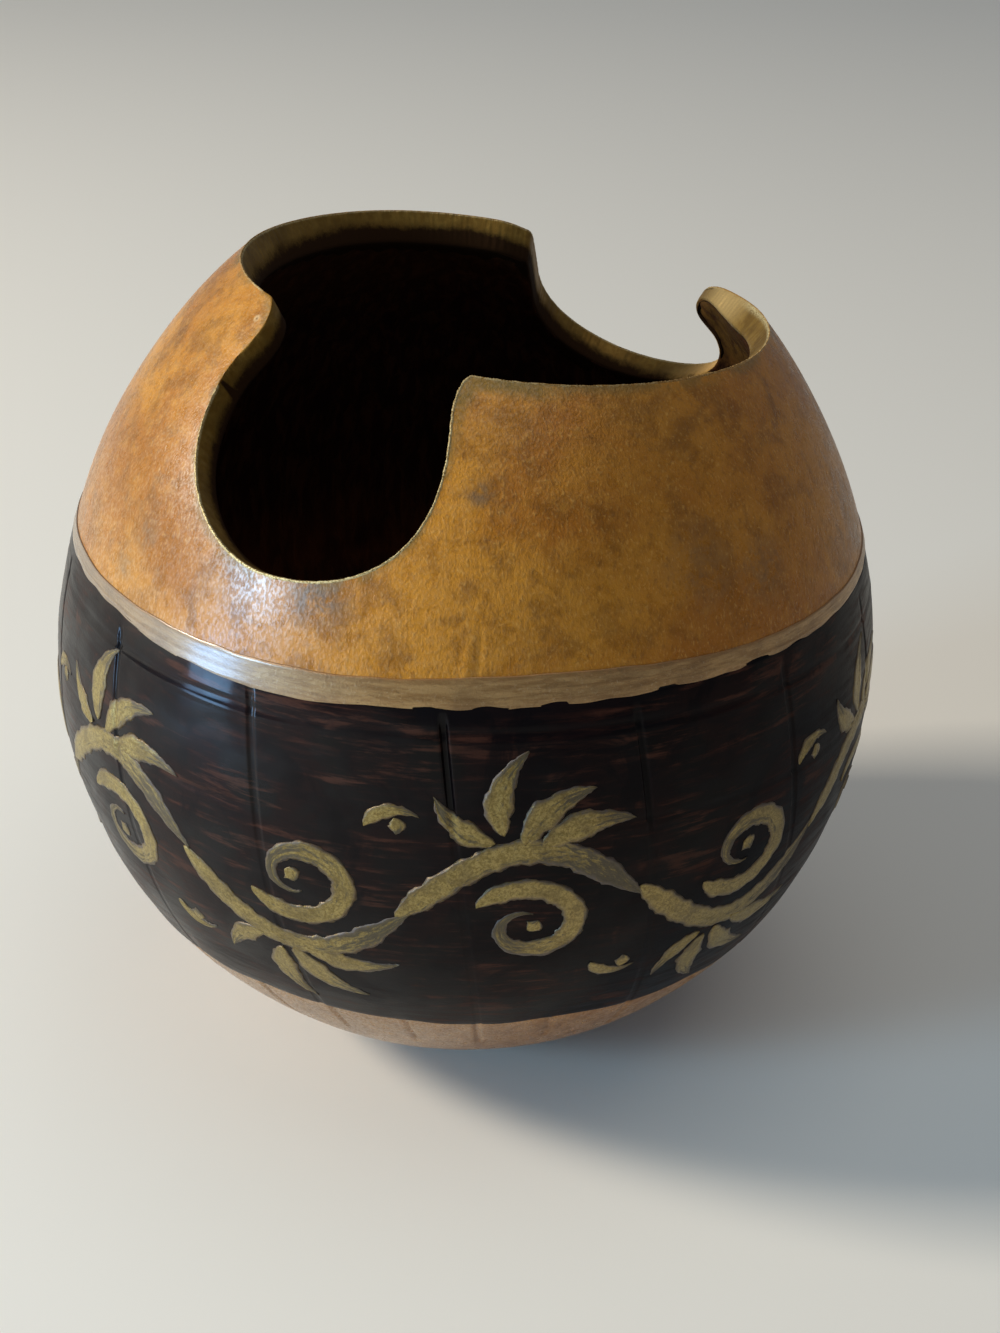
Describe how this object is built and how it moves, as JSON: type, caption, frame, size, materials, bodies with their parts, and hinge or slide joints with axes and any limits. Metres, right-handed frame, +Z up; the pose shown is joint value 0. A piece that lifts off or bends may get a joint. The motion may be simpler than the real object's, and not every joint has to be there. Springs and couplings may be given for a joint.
{
  "type": "carved gourd vessel",
  "caption": "Round open vessel made from one dried gourd, with a saw-cut scalloped mouth, a dark belly band and gold trim; stands free.",
  "frame": {"origin": "centre of the flat sanded under the gourd, on the surface that it stands on", "axes": "+Z up along the gourd's axis; -Y is the front, the side that the picture shows; +X to the right"},
  "size_m": [0.1106, 0.1104, 0.1076],
  "materials": {
    "gourd_skin": "dried gourd skin, mottled orange-brown, waxed satin",
    "inner_black": "near-black stain, matte",
    "rim_gold": "old-gold paint film, satin",
    "band_stain": "near-black brown stain under gloss varnish",
    "ring_gold": "champagne-gold metallic paint, brushed on"
  },
  "bodies": {
    "root": {"gourd_shell": "gourd_skin", "inner_coat": "inner_black", "rim_gilding": "rim_gold", "dark_band": "band_stain", "gold_ring": "ring_gold"}
  },
  "joints": []
}
